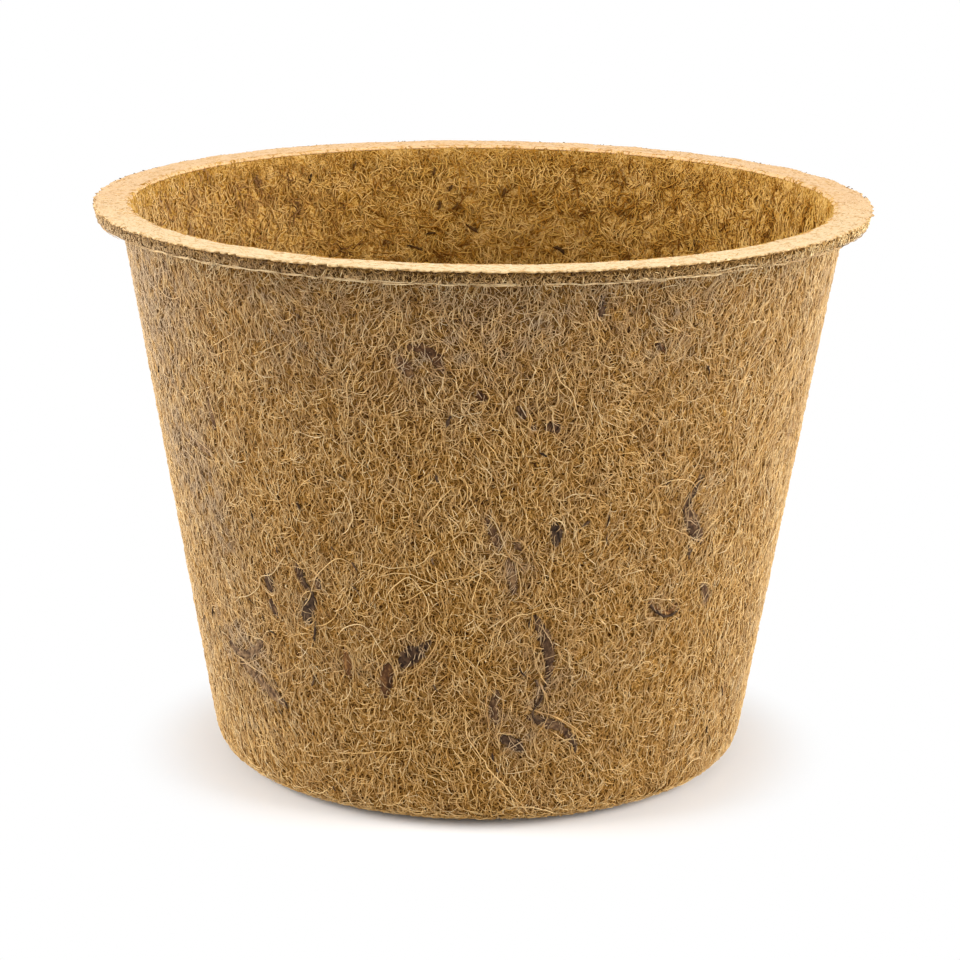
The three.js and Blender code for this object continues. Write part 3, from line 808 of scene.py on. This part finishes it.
# crossing: how readily these fibres lie over a flake
outsideFibres = {
    "wall_ground": {"count": 113000, "length": (1.1, 3.8), "width": (0.085, 0.15), "curl": 2.6, "combed": 0.5,
                    "depth": (-0.46, -0.08), "weave": 0.08, "taper": 0.3, "tone": (0.6, 0.11), "shade": 0.56,
                    "patch": 0.02, "pit": 0.09, "pitShade": 0.05, "crossing": 0.25},
    "wall_specks": {"count": 500, "length": (0.3, 0.8), "width": (0.12, 0.22), "combed": 0.5,
                    "depth": (-0.12, -0.04), "weave": 0.0, "period": (2, 4), "highest": 0.0, "dive": 0.1,
                    "steps": 2, "tone": (0.95, 0.08), "crossing": 0.3},
    "wall_middle": {"count": 9000, "length": (2.5, 8), "width": (0.1, 0.16), "curl": 5, "wander": 0.26,
                    "combed": 0.4, "depth": (-0.28, -0.1), "weave": 0.14, "period": (2.5, 5), "highest": 0.0,
                    "dive": 0.3, "steps": 6, "tone": (0.62, 0.14), "shade": 0.5, "patch": 0.05, "pit": 0.1,
                    "pitShade": 0.1, "crossing": 0.8},
    "wall_strands": {"count": 210, "length": (10, 26), "width": (0.14, 0.2), "curl": 6, "wander": 0.22,
                     "combed": 0.3, "depth": (-0.16, -0.06), "weave": 0.1, "period": (5, 12), "highest": 0.02,
                     "dive": 0.4, "steps": 24, "tone": (0.57, 0.1), "shade": 0.25, "crossing": 1.2},
}
outsideSpan = (34.0, float(runAt(outside, flangeUnder - 0.3)))
# painted light: a little paler between the front and the sides, where the side lamps fall more, and more over
# the last mm under the flange, against the flange's shade
outsidePaintedLight = {"between": 0.05, "top": 0.2, "topFrom": 4, "topOver": 3}
for name, spec in outsideFibres.items():
    laid = layFibres(outside, {**spec, "span": outsideSpan}, rng)
    nearTop = np.clip((laid["s"] - outsideSpan[1] + outsidePaintedLight["topFrom"]) / outsidePaintedLight["topOver"], 0, 1)
    paintedLight = outsidePaintedLight["between"] * np.sin(2 * laid["turn"]) ** 2 + outsidePaintedLight["top"] * nearTop
    laid["tone"] = np.clip(laid["tone"] + paintedLight, 0, 1)
    passFlakes(laid, spec["crossing"], rng)
    fibrePieces(name, outside, laid, outerFibre, "outer_felt", True)

insideFibres = {
    "inside_ground": {"count": 50000, "length": (1.4, 4.0), "width": (0.2, 0.32), "wander": 0.25,
                      "depth": (-0.36, -0.1), "weave": 0.07, "taper": 0.3, "tone": (0.66, 0.05),
                      "shade": 0.24, "patch": 0.34, "patchSize": 6, "blotch": 0.2, "pit": 0.1,
                      "pitSize": 2.4, "pitShade": 0.36},
    "inside_middle": {"count": 900, "length": (3, 8), "width": (0.15, 0.21), "curl": 4,
                      "depth": (-0.3, -0.12), "weave": 0.14, "period": (3, 6), "highest": 0.0, "dive": 0.3,
                      "steps": 9, "tone": (0.62, 0.09), "shade": 0.3, "patch": 0.2, "patchSize": 6,
                      "pit": 0.1, "pitSize": 1.8, "pitShade": 0.1},
}
# painted light: the inner wall at the left, which faces the right-hand lamp, is made paler through the dust
# attribute
insidePaintedLight = 0.28   # the felt is paler at the left of the mouth
insideSpan = (2.0, float(runAt(inside, pot["height"] - 0.5)))
for name, spec in insideFibres.items():
    laid = layFibres(inside, {**spec, "span": insideSpan}, rng)
    laid["dust"] += insidePaintedLight * np.clip(-np.sin(laid["turn"]), 0, 1) ** 2
    fibrePieces(name, inside, laid, innerFibre, "inner_felt")

# fibres at the mouth, which carry the wall's felt over into the skin
mouthStart = 88.0
mouthRun = makeRun(np.array([
    (faceRadius(pot["wall"], mouthStart), mouthStart), (pot["mouth"] - 0.03, pot["height"] - 0.5),
    (pot["mouth"] + 0.12, pot["height"] - 0.22), (pot["mouth"] + 0.4, pot["height"] - 0.07),
    (pot["mouth"] + 1.0, pot["height"])]), -1)
mouthFibres = {"count": 3400, "length": (0.6, 2.2), "width": (0.12, 0.2), "wander": 0.25, "combed": 0.2,
               "depth": (-0.08, 0.05), "weave": 0.05, "highest": 0.07, "dive": 0.1, "steps": 4,
               "tone": (0.58, 0.12), "shade": 0.2, "patch": 0.15, "patchSize": 6,
               "span": (mouthRun["end"] - 4.5, mouthRun["end"] - 0.3)}
fibrePieces("mouth_fibres", mouthRun, layFibres(mouthRun, mouthFibres, rng), innerFibre, "inner_felt")

baseFibres = {"count": 6500, "length": (2, 7), "width": (0.14, 0.22), "curl": 4, "combed": 0.0,
              "depth": (-0.45, -0.12), "weave": 0.12, "period": (2.5, 5), "dive": 0.2,
              "tone": (0.58, 0.18), "shade": 0.45, "patch": 0.06, "pit": 0.15, "pitSize": 1.8,
              "pitShade": 0.25, "span": (2.0, 42.0)}
fibrePieces("base_fibres", outside, layFibres(outside, baseFibres, rng), outerFibre, "outer_felt")
print("felted fibres ready")


# single strands that stand out: turn in degrees and level in mm, from one end to the other. Their ends, where
# they dive into the felt, are darkened as painted shade by endShade.
looseStrands = {
    "steps": 24, "width": (0.15, 0.2), "height": -0.06, "tone": (0.76, 0.06),
    "dive": 0.35, "taper": 0.5, "endShade": 0.1,
    "paths": [
        [(-54, 34), (-50, 35), (-47, 36), (-44, 38), (-43, 40), (-40, 41), (-37, 44), (-36, 45)],
        [(11, 80), (12, 77), (14, 75), (15, 72), (16, 70)],
        [(23, 12), (24, 11), (26, 9), (28, 9), (31, 8), (33, 7)],
        [(-17, 39), (-16, 41), (-14, 43), (-12, 44), (-10, 42), (-9, 40), (-9, 38), (-11, 36)],
        [(38, 65), (39, 62), (38, 60), (36, 58), (34, 57)],
        [(-34, 36), (-32, 38), (-31, 40), (-30, 42), (-28, 44), (-25, 46), (-22, 45)],
        [(-27, 32), (-25, 34), (-22, 35), (-20, 34), (-18, 31), (-16, 28)],
        [(-20, 78), (-21, 75), (-21, 71), (-22, 68)],
        [(-39, 59), (-38, 56), (-36, 54), (-35, 51)],
    ],
}


def smoothPath(points, steps):
    points = np.array(points, float)
    padded = np.vstack([2 * points[0] - points[1], points, 2 * points[-1] - points[-2]])
    t = np.linspace(0, len(points) - 1, steps + 1)
    i = np.minimum(t.astype(int), len(points) - 2)
    f = (t - i)[:, None]
    a, b, c, d = (padded[i + k] for k in range(4))
    square, cube = 2 * a - 5 * b + 4 * c - d, 3 * b - a - 3 * c + d
    return 0.5 * (2 * b + (c - a) * f + square * f ** 2 + cube * f ** 3)


# strands that curve round the flakes, as fibres do where something lies among them; sweep in radians
flakeRings = {"each": 2, "gap": (0.15, 0.6), "sweep": (0.8, 1.7), "waver": 0.1, "open": 0.4,
              "width": (0.13, 0.19), "height": (-0.14, -0.06), "tone": (0.56, 0.12)}


def layStrands(spec, rings, dice):
    steps = spec["steps"]
    t = np.linspace(-1, 1, steps + 1)
    smooth = [smoothPath(path, steps) for path in spec["paths"]]
    turns = [np.radians(path[:, 0]) for path in smooth]
    lengths = [runAt(outside, path[:, 1]) for path in smooth]
    for flake in flakes:
        spots = np.vstack(flake["faces"]) - flake["middle"]
        axes = np.linalg.eigh(np.cov(spots.T))[1]
        half = np.abs(spots @ axes).max(axis=0)
        for _ in range(rings["each"]):
            angle = dice.uniform(0, fullTurn) + t * dice.uniform(*rings["sweep"])
            waver = rings["waver"] * np.sin(4 * t + dice.uniform(0, fullTurn))
            swell = 1 + waver + rings["open"] * np.abs(t) ** 3
            circle = np.stack([np.cos(angle), np.sin(angle)], -1) * (half + dice.uniform(*rings["gap"]))
            spot = (circle * swell[:, None]) @ axes.T + flake["middle"]
            turns.append(flake["turn"] + spot[:, 0] / along(outside, "r", spot[:, 1]))
            lengths.append(spot[:, 1])
    laid, ringed = len(smooth), len(turns) - len(smooth)
    height = np.concatenate([np.full(laid, spec["height"]), dice.uniform(*rings["height"], ringed)])
    width = np.concatenate([dice.uniform(*spec["width"], laid), dice.uniform(*rings["width"], ringed)])
    tone = np.concatenate([dice.normal(*spec["tone"], laid), dice.normal(*rings["tone"], ringed)])
    ends = np.abs(t) ** 6
    return {"turn": np.array(turns), "s": np.clip(lengths, *outsideSpan),
            "height": height[:, None] - spec["dive"] * ends,
            "width": width[:, None] * (1 - spec["taper"] * ends),
            "tone": np.clip(tone[:, None] - spec["endShade"] * ends, 0, 1),
            "dust": np.zeros((len(turns), steps + 1))}


strands = layStrands(looseStrands, flakeRings, rng)
fibrePieces("wall_loose_strands", outside, strands, outerFibre, "outer_felt", True)

# dark shreds of husk in both faces of the wall: turn in degrees, level, length in mm, slant in degrees
outerShreds = {
    "width": (0.3, 0.6), "taper": 3, "depth": -0.06, "steps": 6, "tone": (0.33, 0.1), "streak": 0.05,
    "bend": 0.2, "more": 50, "around": (85, 275),
    "seen": [(-63, 29.5, 2.4, 70), (-47, 35, 2, 140), (-44, 32.5, 1, 110), (-42, 30.5, 1.8, 170),
             (-41, 24.5, 1.4, 120), (-43, 21, 1.4, 120), (-41, 18, 2, 120), (-43, 16, 1.1, 140),
             (-33, 23.5, 2.2, 70), (-22, 41, 2.2, 130), (-22, 45, 1.7, 120), (-5, 70.5, 2, 70),
             (10, 65, 1.5, 150), (-7, 61, 1.5, 95), (-23, 60, 1.5, 140), (22, 53, 2.5, 80),
             (22, 50, 2.3, 100), (18, 53, 1.7, 30), (40, 45.5, 1.5, 40), (33, 58.5, 1.7, 35),
             (9, 36.5, 1.9, 85), (8, 28, 2.5, 120), (11, 26, 1.5, 110), (4, 10.5, 1.3, 105),
             (3, 13, 1.7, 100), (-8, 25, 1.6, 120), (28, 81.5, 1.6, 120), (38, 76.5, 1.6, 115),
             (-32, 54, 1.4, 115), (-43, 50.5, 1.3, 100), (-38, 45.5, 1.3, 100), (-26, 47.5, 1.1, 125),
             (-8, 47, 1.4, 100), (67, 27.5, 2, 120), (59, 17, 1.8, 110), (55, 11, 1.7, 110),
             (-69, 70, 1.7, 55), (-58, 69.5, 2.4, 60), (-70, 26.5, 2.2, 55), (-31, 4.5, 1.1, 105)],
}
innerShreds = {
    "width": (0.4, 0.7), "taper": 3, "depth": -0.08, "steps": 8, "tone": (0.5, 0.15), "streak": 0.05,
    "bend": 0.2, "more": 60, "around": (-130, 140),
    "seen": [(-167, 77, 3.2, 200), (-170, 79.5, 2.2, 170), (165, 77, 2.6, 210), (176, 87, 1.6, 105),
             (-171, 90.6, 1.5, 100), (-174, 87.6, 1.5, 120), (-175, 84.3, 1.7, 130), (-178, 80.3, 2.8, 215),
             (-172, 84.5, 1.9, 100), (-156, 92.4, 1.3, 120), (-147, 90.6, 1.9, 110)],
}
# level, length and slant of the shreds that the photograph doesn't show
moreShreds = {"level": (6, 91), "length": (1, 3), "slant": (0, 180)}
# narrow strips of husk that lead on from some of the flakes: turn in degrees and level in mm along each
huskStrips = {
    "width": (0.45, 0.65), "taper": 4, "depth": -0.1, "steps": 16, "tone": (0.3, 0.08), "streak": 0.12,
    "waver": 0.05, "dive": 0.3,
    "paths": [
        [(13, 27), (12, 23), (10.5, 21), (11, 19.5), (13.5, 19)],
        [(18.5, 16), (19.5, 14), (19.5, 12.5)],
        [(32, 38), (33.5, 36.5), (36, 35), (38, 35), (40, 36)],
        [(41, 59), (39.5, 57), (39, 55.5), (38, 54.5)],
        [(39.5, 46.5), (40, 45), (40, 44)],
        [(-33, 43), (-32.5, 41), (-31, 39), (-30.5, 37)],
        [(-31, 34.5), (-31.5, 32), (-32, 30.5)],
    ],
}
# how much thinner the ends of all of these are, and how uneven they are along their length
huskEdge = {"ends": 0.75, "uneven": 0.25, "most": 1.5}


def layHusk(run, turn, s, depth, spec, dice):
    t = np.linspace(-1, 1, spec["steps"] + 1)
    thinner = huskEdge["ends"] * np.abs(t) ** spec["taper"]
    width = dice.uniform(*spec["width"], (len(turn), 1)) * (1 - thinner)
    uneven = dice.normal(0, 1, width.shape).clip(-huskEdge["most"], huskEdge["most"])
    width = width * (1 + huskEdge["uneven"] * uneven)
    tone = dice.normal(*spec["tone"], (len(turn), 1)) + spec["streak"] * dice.normal(0, 1, width.shape)
    points, normals = place(run, turn, s, depth)
    return points, normals, width, np.clip(tone, 0, 1), np.zeros(width.shape)


def layShreds(run, spec, dice):
    ranges = (spec["around"], moreShreds["level"], moreShreds["length"], moreShreds["slant"])
    spread = np.stack([dice.uniform(*span, spec["more"]) for span in ranges], -1)
    turn, level, length, slant = np.vstack([spec["seen"], spread]).T[:, :, None]
    t = np.linspace(-1, 1, spec["steps"] + 1)
    slant = np.radians(slant) + spec["bend"] * t * dice.normal(0, 1, (len(turn), 1))
    s = runAt(run, level) + 0.5 * length * t * np.sin(slant)
    turn = np.radians(turn) + 0.5 * length * t * np.cos(slant) / along(run, "r", s)
    return layHusk(run, turn, s, spec["depth"], spec, dice)


def layStrips(spec, dice):
    smooth = np.array([smoothPath(path, spec["steps"]) for path in spec["paths"]])
    ends = np.abs(np.linspace(-1, 1, spec["steps"] + 1)) ** 6
    depth = spec["depth"] + spec["waver"] * lumps(smooth, 3, 12, 29) - spec["dive"] * ends
    return layHusk(outside, np.radians(smooth[..., 0]), runAt(outside, smooth[..., 1]), depth, spec, dice)


tubePieces("wall_husk_strips", *layStrips(huskStrips, rng), husk, "husk", flat=0.3)
tubePieces("wall_husk_shreds", *layShreds(outside, outerShreds, rng), husk, "husk", flat=0.35)
tubePieces("inside_husk_shreds", *layShreds(inside, innerShreds, rng), shredFibre, "husk", flat=0.35)
print("single strands ready")


# rim: the pressed skin with its ragged trimmed border. Its outer rows are browned, partly for the torn fibres
# and partly as painted shade on the outer corner, which catches the light.
rimLook = {"columns": 1700, "topRows": 14, "trim": 0.18, "ragged": 0.18, "nick": 1.1, "nickFrom": 1.15,
           "inner": 0.1, "wave": 0.05, "grain": 0.02, "cream": 0.85, "border": [1.0, 1.0, 0.8, 0.25]}


def rimLevel(spots):
    wave = rimLook["wave"] * lumps(spots, 9, 20, 75)
    return pot["height"] + wave + rimLook["grain"] * lumps(spots, 0.8, 40, 76)


def ringPoints(radius, turn):
    return np.stack([radius * np.sin(turn), -radius * np.cos(turn)], -1)


def makeRimSkin():
    columns = rimLook["columns"]
    turn = np.arange(columns) * fullTurn / columns
    circle = ringPoints(pot["rim"], turn)
    ragged = rimLook["ragged"] * (lumps(circle, 1.0, 60, 71) + 0.9 * lumps(circle, 3.2, 40, 72))
    nicks = np.clip(lumps(circle, 1.4, 60, 73) - rimLook["nickFrom"], 0, 1) * rimLook["nick"]
    outer = pot["rim"] - rimLook["trim"] + ragged - nicks
    inner = pot["mouth"] + rimLook["inner"] * lumps(circle, 3, 30, 74)
    top, under = pot["height"], skinUnder
    corner = outer - 0.12   # the section runs from under the border over the top and down into the mouth
    section = [(outer - 0.1, under), (outer, under + 0.08), (outer, top - 0.1), (corner, top - 0.02)]
    shares = np.linspace(0, 1, rimLook["topRows"])[1:-1]
    section += [(corner + (inner + 0.8 - corner) * share, top) for share in shares]
    section += [(inner + 0.8, top - 0.02), (inner + 0.45, top - 0.07), (inner + 0.2, top - 0.2),
                (inner + 0.05, top - 0.42), (inner + 0.1, top - 0.55), (inner + 0.6, under - 0.05)]
    radius = np.array([p[0] for p in section])
    level = np.array([np.broadcast_to(p[1], columns) for p in section])
    spots = ringPoints(radius, turn)
    level = level + (level > top - 0.16) * (rimLevel(spots) - top)
    cream = np.broadcast_to(rimLook["cream"] * np.clip(np.cos(turn), 0, 1) ** 0.7, level.shape)
    # border rows browned partly as torn fibres, partly as painted shade on the outer corner
    border = np.zeros(level.shape)
    border[:len(rimLook["border"])] = np.array(rimLook["border"])[:, None]
    border = np.clip(border * (1 + 0.5 * lumps(spots, 1.2, 40, 77)), 0, 1)
    return spin("rim_skin_pressed", radius, level, [pressedSkin], True,
                values={"cream": cream.ravel(), "border": border.ravel()})


belongs(makeRimSkin(), "pressed_skin", "rim_skin")

# short fibres pressed into the top of the skin, flush with it
rimFibres = {"count": 3000, "length": (0.5, 2.4), "width": (0.1, 0.17), "steps": 4, "tone": (0.5, 0.22),
             "sink": 0.03, "edge": 0.4, "lean": 0.5, "bend": 0.6}


def taperedWidth(spec, count, t, taper, dice):
    return dice.uniform(*spec["width"], (count, 1)) * (1 - taper * np.abs(2 * t) ** 4)


def layRimFibres(spec, dice):
    count = spec["count"]
    t = np.linspace(-0.5, 0.5, spec["steps"] + 1)
    length = dice.uniform(*spec["length"], (count, 1))
    heading = dice.normal(0, spec["lean"], (count, 1)) + spec["bend"] * t * dice.normal(0, 1, (count, 1))
    nearest, farthest = pot["mouth"] + spec["edge"], pot["rim"] - spec["edge"]
    radius = dice.uniform(nearest, farthest, (count, 1))
    radius = np.clip(radius + t * length * np.sin(heading), nearest, farthest)
    turn = dice.uniform(0, fullTurn, (count, 1)) + t * length * np.cos(heading) / pot["rim"]
    spots = ringPoints(radius, turn)
    points = np.concatenate([spots, (rimLevel(spots) - spec["sink"])[..., None]], -1) * mm
    normals = np.broadcast_to([0.0, 0.0, 1.0], points.shape)
    width = taperedWidth(spec, count, t, 0.5, dice)
    tone = np.clip(dice.normal(*spec["tone"], (count, 1)) + 0 * t, 0, 1)
    return points, normals, width, tone, np.zeros(width.shape)


tubePieces("rim_top_fibres", *layRimFibres(rimFibres, rng), pressedFibre, "pressed_skin")

# short cut ends in the trimmed edge: darkened as painted shade under the skin in front, grey at the left, and
# paler at the right as painted light
stubs = {"count": 8000, "length": (0.4, 1.4), "width": (0.1, 0.19), "lean": 0.8, "depth": (-0.35, 0.02),
         "steps": 3, "low": flangeUnder - 0.25, "high": skinUnder + 0.05, "tone": (0.58, 0.16), "paintedShade": 0.6,
         "paintedLight": 0.25, "dust": 0.35}
# the edge that they follow: how far they pass its top, how far it stays in under the rim, how they waver, and
# how much of the painted shade fades at the sides
stubEdge = {"pass": 0.12, "inset": 0.2, "waver": 0.1, "sidesFade": 0.8}


def standOut(radius, turn, level):
    points = np.concatenate([ringPoints(radius, turn), level[..., None]], -1) * mm
    return points, np.stack([np.sin(turn), -np.cos(turn), np.zeros(turn.shape)], -1)


def layStubs(spec, dice):
    count = spec["count"]
    t = np.linspace(-0.5, 0.5, spec["steps"] + 1)
    length = dice.uniform(*spec["length"], (count, 1))
    lean = dice.normal(0, spec["lean"], (count, 1))
    level = dice.uniform(spec["low"], spec["high"], (count, 1)) + t * length * np.cos(lean)
    level = np.clip(level, spec["low"], spec["high"] + stubEdge["pass"])
    share = (level - spec["low"]) / (spec["high"] - spec["low"])
    turn = dice.uniform(0, fullTurn, (count, 1)) + t * length * np.sin(lean) / pot["rim"]
    lip = pot["lowerLip"] + (pot["rim"] - stubEdge["inset"] - pot["lowerLip"]) * share
    depth = dice.uniform(*spec["depth"], (count, 1))
    radius = lip + depth + stubEdge["waver"] * np.sin(3 * t + dice.uniform(0, fullTurn, (count, 1)))
    points, normals = standOut(radius, turn, level)
    width = taperedWidth(spec, count, t, 0.4, dice)
    # painted shade darkens the upper stubs, under the skin's overhang, less at the sides; painted light makes
    # those at the right paler
    left, right = np.clip(-np.sin(turn), 0, 1) ** 2, np.clip(np.sin(turn), 0, 1) ** 2
    paintedShade = spec["paintedShade"] * share ** 2 * (1 - stubEdge["sidesFade"] * (left + right))
    tone = dice.normal(*spec["tone"], (count, 1)) - paintedShade
    tone = np.clip(tone + spec["paintedLight"] * right, 0, 1)
    return points, normals, width, tone, spec["dust"] * (1 - share + left)


tubePieces("rim_edge_stubs", *layStubs(stubs, rng), edgeFibre, "inner_felt")

# dark torn bits caught in the border of the skin, a little paler at the right as painted light
borderBits = {"count": 320, "length": (0.25, 1.0), "width": (0.12, 0.28), "lean": 1.2, "depth": (-0.2, 0.05),
              "steps": 3, "low": skinUnder - 0.12, "high": skinUnder + 0.2, "tone": (0.2, 0.12),
              "paintedShade": 0.0, "paintedLight": 0.1, "dust": 0.0}
tubePieces("rim_border_bits", *layStubs(borderBits, rng), edgeFibre, "inner_felt")

# fibres pulled along the lower lip, with a few loose ones: turn in degrees, radius and level in mm. The line
# that they make fades towards both sides, from a sine of the turn on.
lipFibres = {
    "count": 600, "length": (1.2, 5), "width": (0.1, 0.15), "steps": 8, "tone": (0.84, 0.16), "dust": 0.45,
    "drop": 0.21, "scatter": 0.1, "waver": 0.07, "sink": 0.02, "ragged": 0.06, "swell": 0.08,
    "fade": 1.2, "fadeFrom": 0.6,
    "loose": [
        [(33, 64.3, 93.5), (35, 64.7, 93.8), (37, 64.9, 94.1), (39, 64.7, 94.0), (41, 64.3, 93.6)],
        [(42, 64.4, 93.4), (45, 64.8, 93.7), (47, 64.9, 94.1), (49, 64.7, 94.4)],
        [(-30, 64.4, 93.4), (-33, 64.7, 93.3), (-36, 64.5, 93.5)],
    ],
}


def layLipFibres(spec, dice):
    count, steps = spec["count"], spec["steps"]
    t = np.linspace(-0.5, 0.5, steps + 1)
    turn = dice.uniform(0, fullTurn, (count, 1)) + t * dice.uniform(*spec["length"], (count, 1)) / pot["rim"]
    spots = ringPoints(pot["lowerLip"], turn)
    radius = dice.normal(pot["lowerLip"] - spec["sink"], spec["ragged"], (count, 1))
    radius = radius + spec["swell"] * lumps(spots, 2.5, 20, 81)
    level = dice.normal(flangeUnder - spec["drop"], spec["scatter"], (count, 1))
    level = level + spec["waver"] * lumps(spots, 3.5, 20, 82)
    loose = np.array([smoothPath(path, steps) for path in spec["loose"]])
    turn = np.vstack([turn, np.radians(loose[:, :, 0])])
    radius = np.vstack([radius, loose[:, :, 1]])
    level = np.vstack([level, loose[:, :, 2]])
    points, normals = standOut(radius, turn, level)
    width = taperedWidth(spec, len(turn), t, 0.5, dice)
    fade = spec["fade"] * np.clip(np.abs(np.sin(turn)) - spec["fadeFrom"], 0, 1)
    tone = np.clip(dice.normal(*spec["tone"], (len(turn), 1)) - fade, 0, 1)
    return points, normals, width, tone, np.full(width.shape, spec["dust"])


tubePieces("rim_lower_lip", *layLipFibres(lipFibres, rng), edgeFibre, "outer_felt")

# fibres on the underside of the flange
flangeFibres = {"count": 3200, "length": (1, 3), "width": (0.1, 0.17), "depth": (-0.1, 0.06), "weave": 0.06,
                "highest": 0.1, "tone": (0.58, 0.14), "shade": 0.3, "patch": 0.05,
                "span": (outsideSpan[1] - 0.5, outside["end"] - 0.4)}
fibrePieces("flange_fibres", outside, layFibres(outside, flangeFibres, rng), outerFibre, "outer_felt", True)
print("rim ready")
